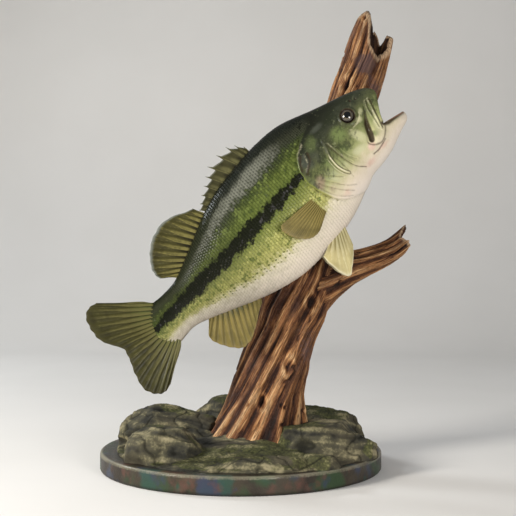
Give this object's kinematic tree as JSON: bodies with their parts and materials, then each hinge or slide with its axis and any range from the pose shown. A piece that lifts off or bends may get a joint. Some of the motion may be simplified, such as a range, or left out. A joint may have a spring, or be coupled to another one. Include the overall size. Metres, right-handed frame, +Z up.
{
  "type": "mounted largemouth bass",
  "caption": "Life-size mounted largemouth bass leaping with an open mouth beside a weathered driftwood stump, on a rocky round plinth.",
  "frame": {"origin": "centre of the round plinth's underside", "axes": "+Z up; the fish's right side faces -Y and its head points up and to +X; +X is to the right as the mount is seen from the front"},
  "size_m": [0.4616, 0.4, 0.6616],
  "materials": {
    "skin_flank": "satin",
    "skin_head": "satin",
    "skin_jaw": "satin",
    "fin_olive": "satin",
    "fin_cream": "satin",
    "eye_glass": "gloss",
    "tongue_flesh": "satin",
    "driftwood": "matte",
    "rock": "matte",
    "ground_moss": "matte",
    "plinth_paint": "satin"
  },
  "bodies": {
    "root": {"tail_stalk": "skin_flank", "trunk": "skin_flank", "head": "skin_head", "lower_jaw": "skin_jaw", "tail_fin": "fin_olive", "back_fin_soft": "fin_olive", "back_fin_spiny": "fin_olive", "anal_fin": "fin_olive", "tongue": "tongue_flesh", "driftwood_stump": "driftwood", "driftwood_snag": "driftwood", "driftwood_branch": "driftwood", "rock_front_left": "rock", "rock_front_middle": "rock", "rock_front_right": "rock", "rock_right_round": "rock", "rock_right": "rock", "rock_left_back": "rock", "rock_right_back": "rock", "rock_back": "rock", "ground": "ground_moss", "plinth": "plinth_paint", "gill_cover_right": "skin_head", "upper_jaw_right": "skin_jaw", "eye_right": "eye_glass", "breast_fin_right": "fin_olive", "belly_fin_right": "fin_cream", "gill_cover_left": "skin_head", "upper_jaw_left": "skin_jaw", "eye_left": "eye_glass", "breast_fin_left": "fin_olive", "belly_fin_left": "fin_cream"}
  },
  "joints": []
}
